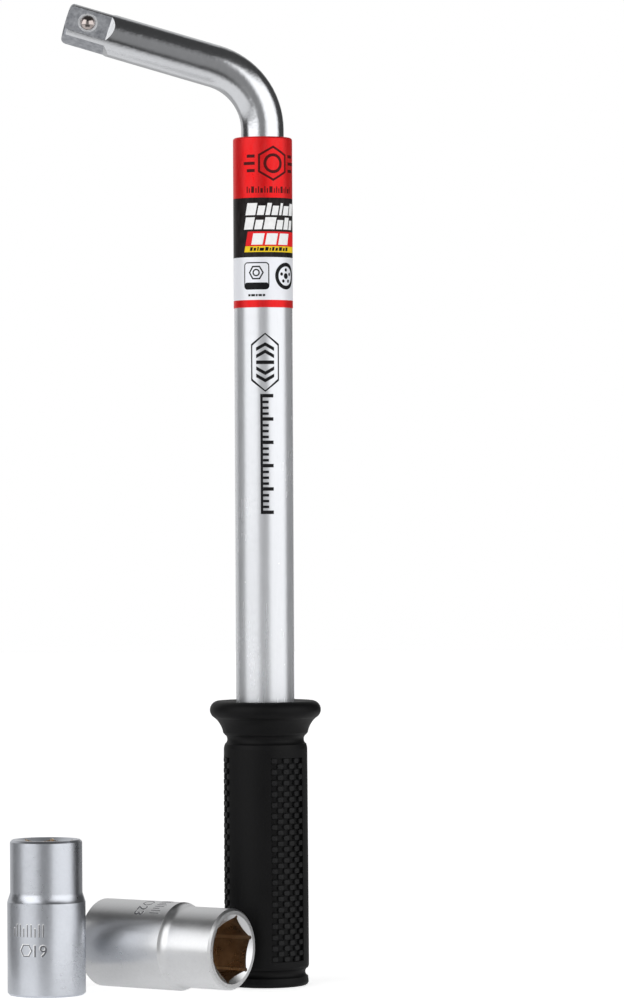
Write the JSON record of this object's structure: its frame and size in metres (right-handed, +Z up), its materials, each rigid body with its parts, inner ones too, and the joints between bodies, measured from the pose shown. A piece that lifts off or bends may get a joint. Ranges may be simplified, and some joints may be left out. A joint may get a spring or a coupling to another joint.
{
  "type": "lug wrench",
  "caption": "Telescopic L-shaped lug wrench with a rubber grip, a bent arm with a ball-detent square drive, and loose double-ended hexagon sockets.",
  "frame": {"origin": "centre of the flat base of the grip, which the wrench stands on", "axes": "+Z up along the tube to the bend, -X towards the tip of the bent arm (the arm rises at 16 degrees as it goes to -X), -Y towards the side that shows the ball of the square drive"},
  "size_m": [0.1161, 0.0666, 0.3672],
  "materials": {
    "satin_chrome": "satin chrome plate",
    "rod_chrome": "satin chrome plate, a little brighter than the tube",
    "socket_chrome": "fine blasted satin chrome with brighter rims",
    "plain_steel": "turned",
    "spring_steel": "oiled spring steel",
    "ball_steel": "polished bearing steel",
    "black_rubber": "matt",
    "ring_rubber": "matt",
    "nylon": "natural nylon",
    "black_plastic": "moulded",
    "printed_film": "glossy printed shrink film, red, black and white bands"
  },
  "bodies": {
    "handle": {"outer_tube": "satin_chrome", "mouth_bush": "plain_steel", "tube_end_plug": "black_plastic", "grip": "black_rubber", "label_sleeve": "printed_film"},
    "rod_rings": {"guide_ring": "nylon", "friction_ring": "ring_rubber"},
    "arm": {"drive_arm": "rod_chrome", "stop_ring": "spring_steel", "detent_spring": "spring_steel"},
    "ball": {"detent_ball": "ball_steel"},
    "small_socket": {"socket_17_19": "socket_chrome"},
    "large_socket": {"socket_21_23": "socket_chrome"}
  },
  "joints": [
    {"name": "rod_extension", "type": "slide", "parent": "handle", "child": "rod_rings", "axis": [0, 0, 1], "range_m": [0, 0.164]},
    {"name": "arm_swivel", "type": "hinge", "parent": "rod_rings", "child": "arm", "pos_m": [0, 0, 0.2], "axis": [0, 0, 1], "continuous": true},
    {"name": "ball_press", "type": "slide", "parent": "arm", "child": "ball", "axis": [-0.0787, 0.9613, -0.2641], "range_m": [0, 0.0016], "stiffness_N_per_m": 3000, "springref_m": -0.001, "deforming": ["detent_spring"]},
    {"name": "small_socket_lift", "type": "slide", "parent": "handle", "child": "small_socket", "axis": [0, 0, 1], "range_m": [0, 0.08]},
    {"name": "large_socket_lift", "type": "slide", "parent": "handle", "child": "large_socket", "axis": [0, 0, 1], "range_m": [0, 0.06]}
  ]
}
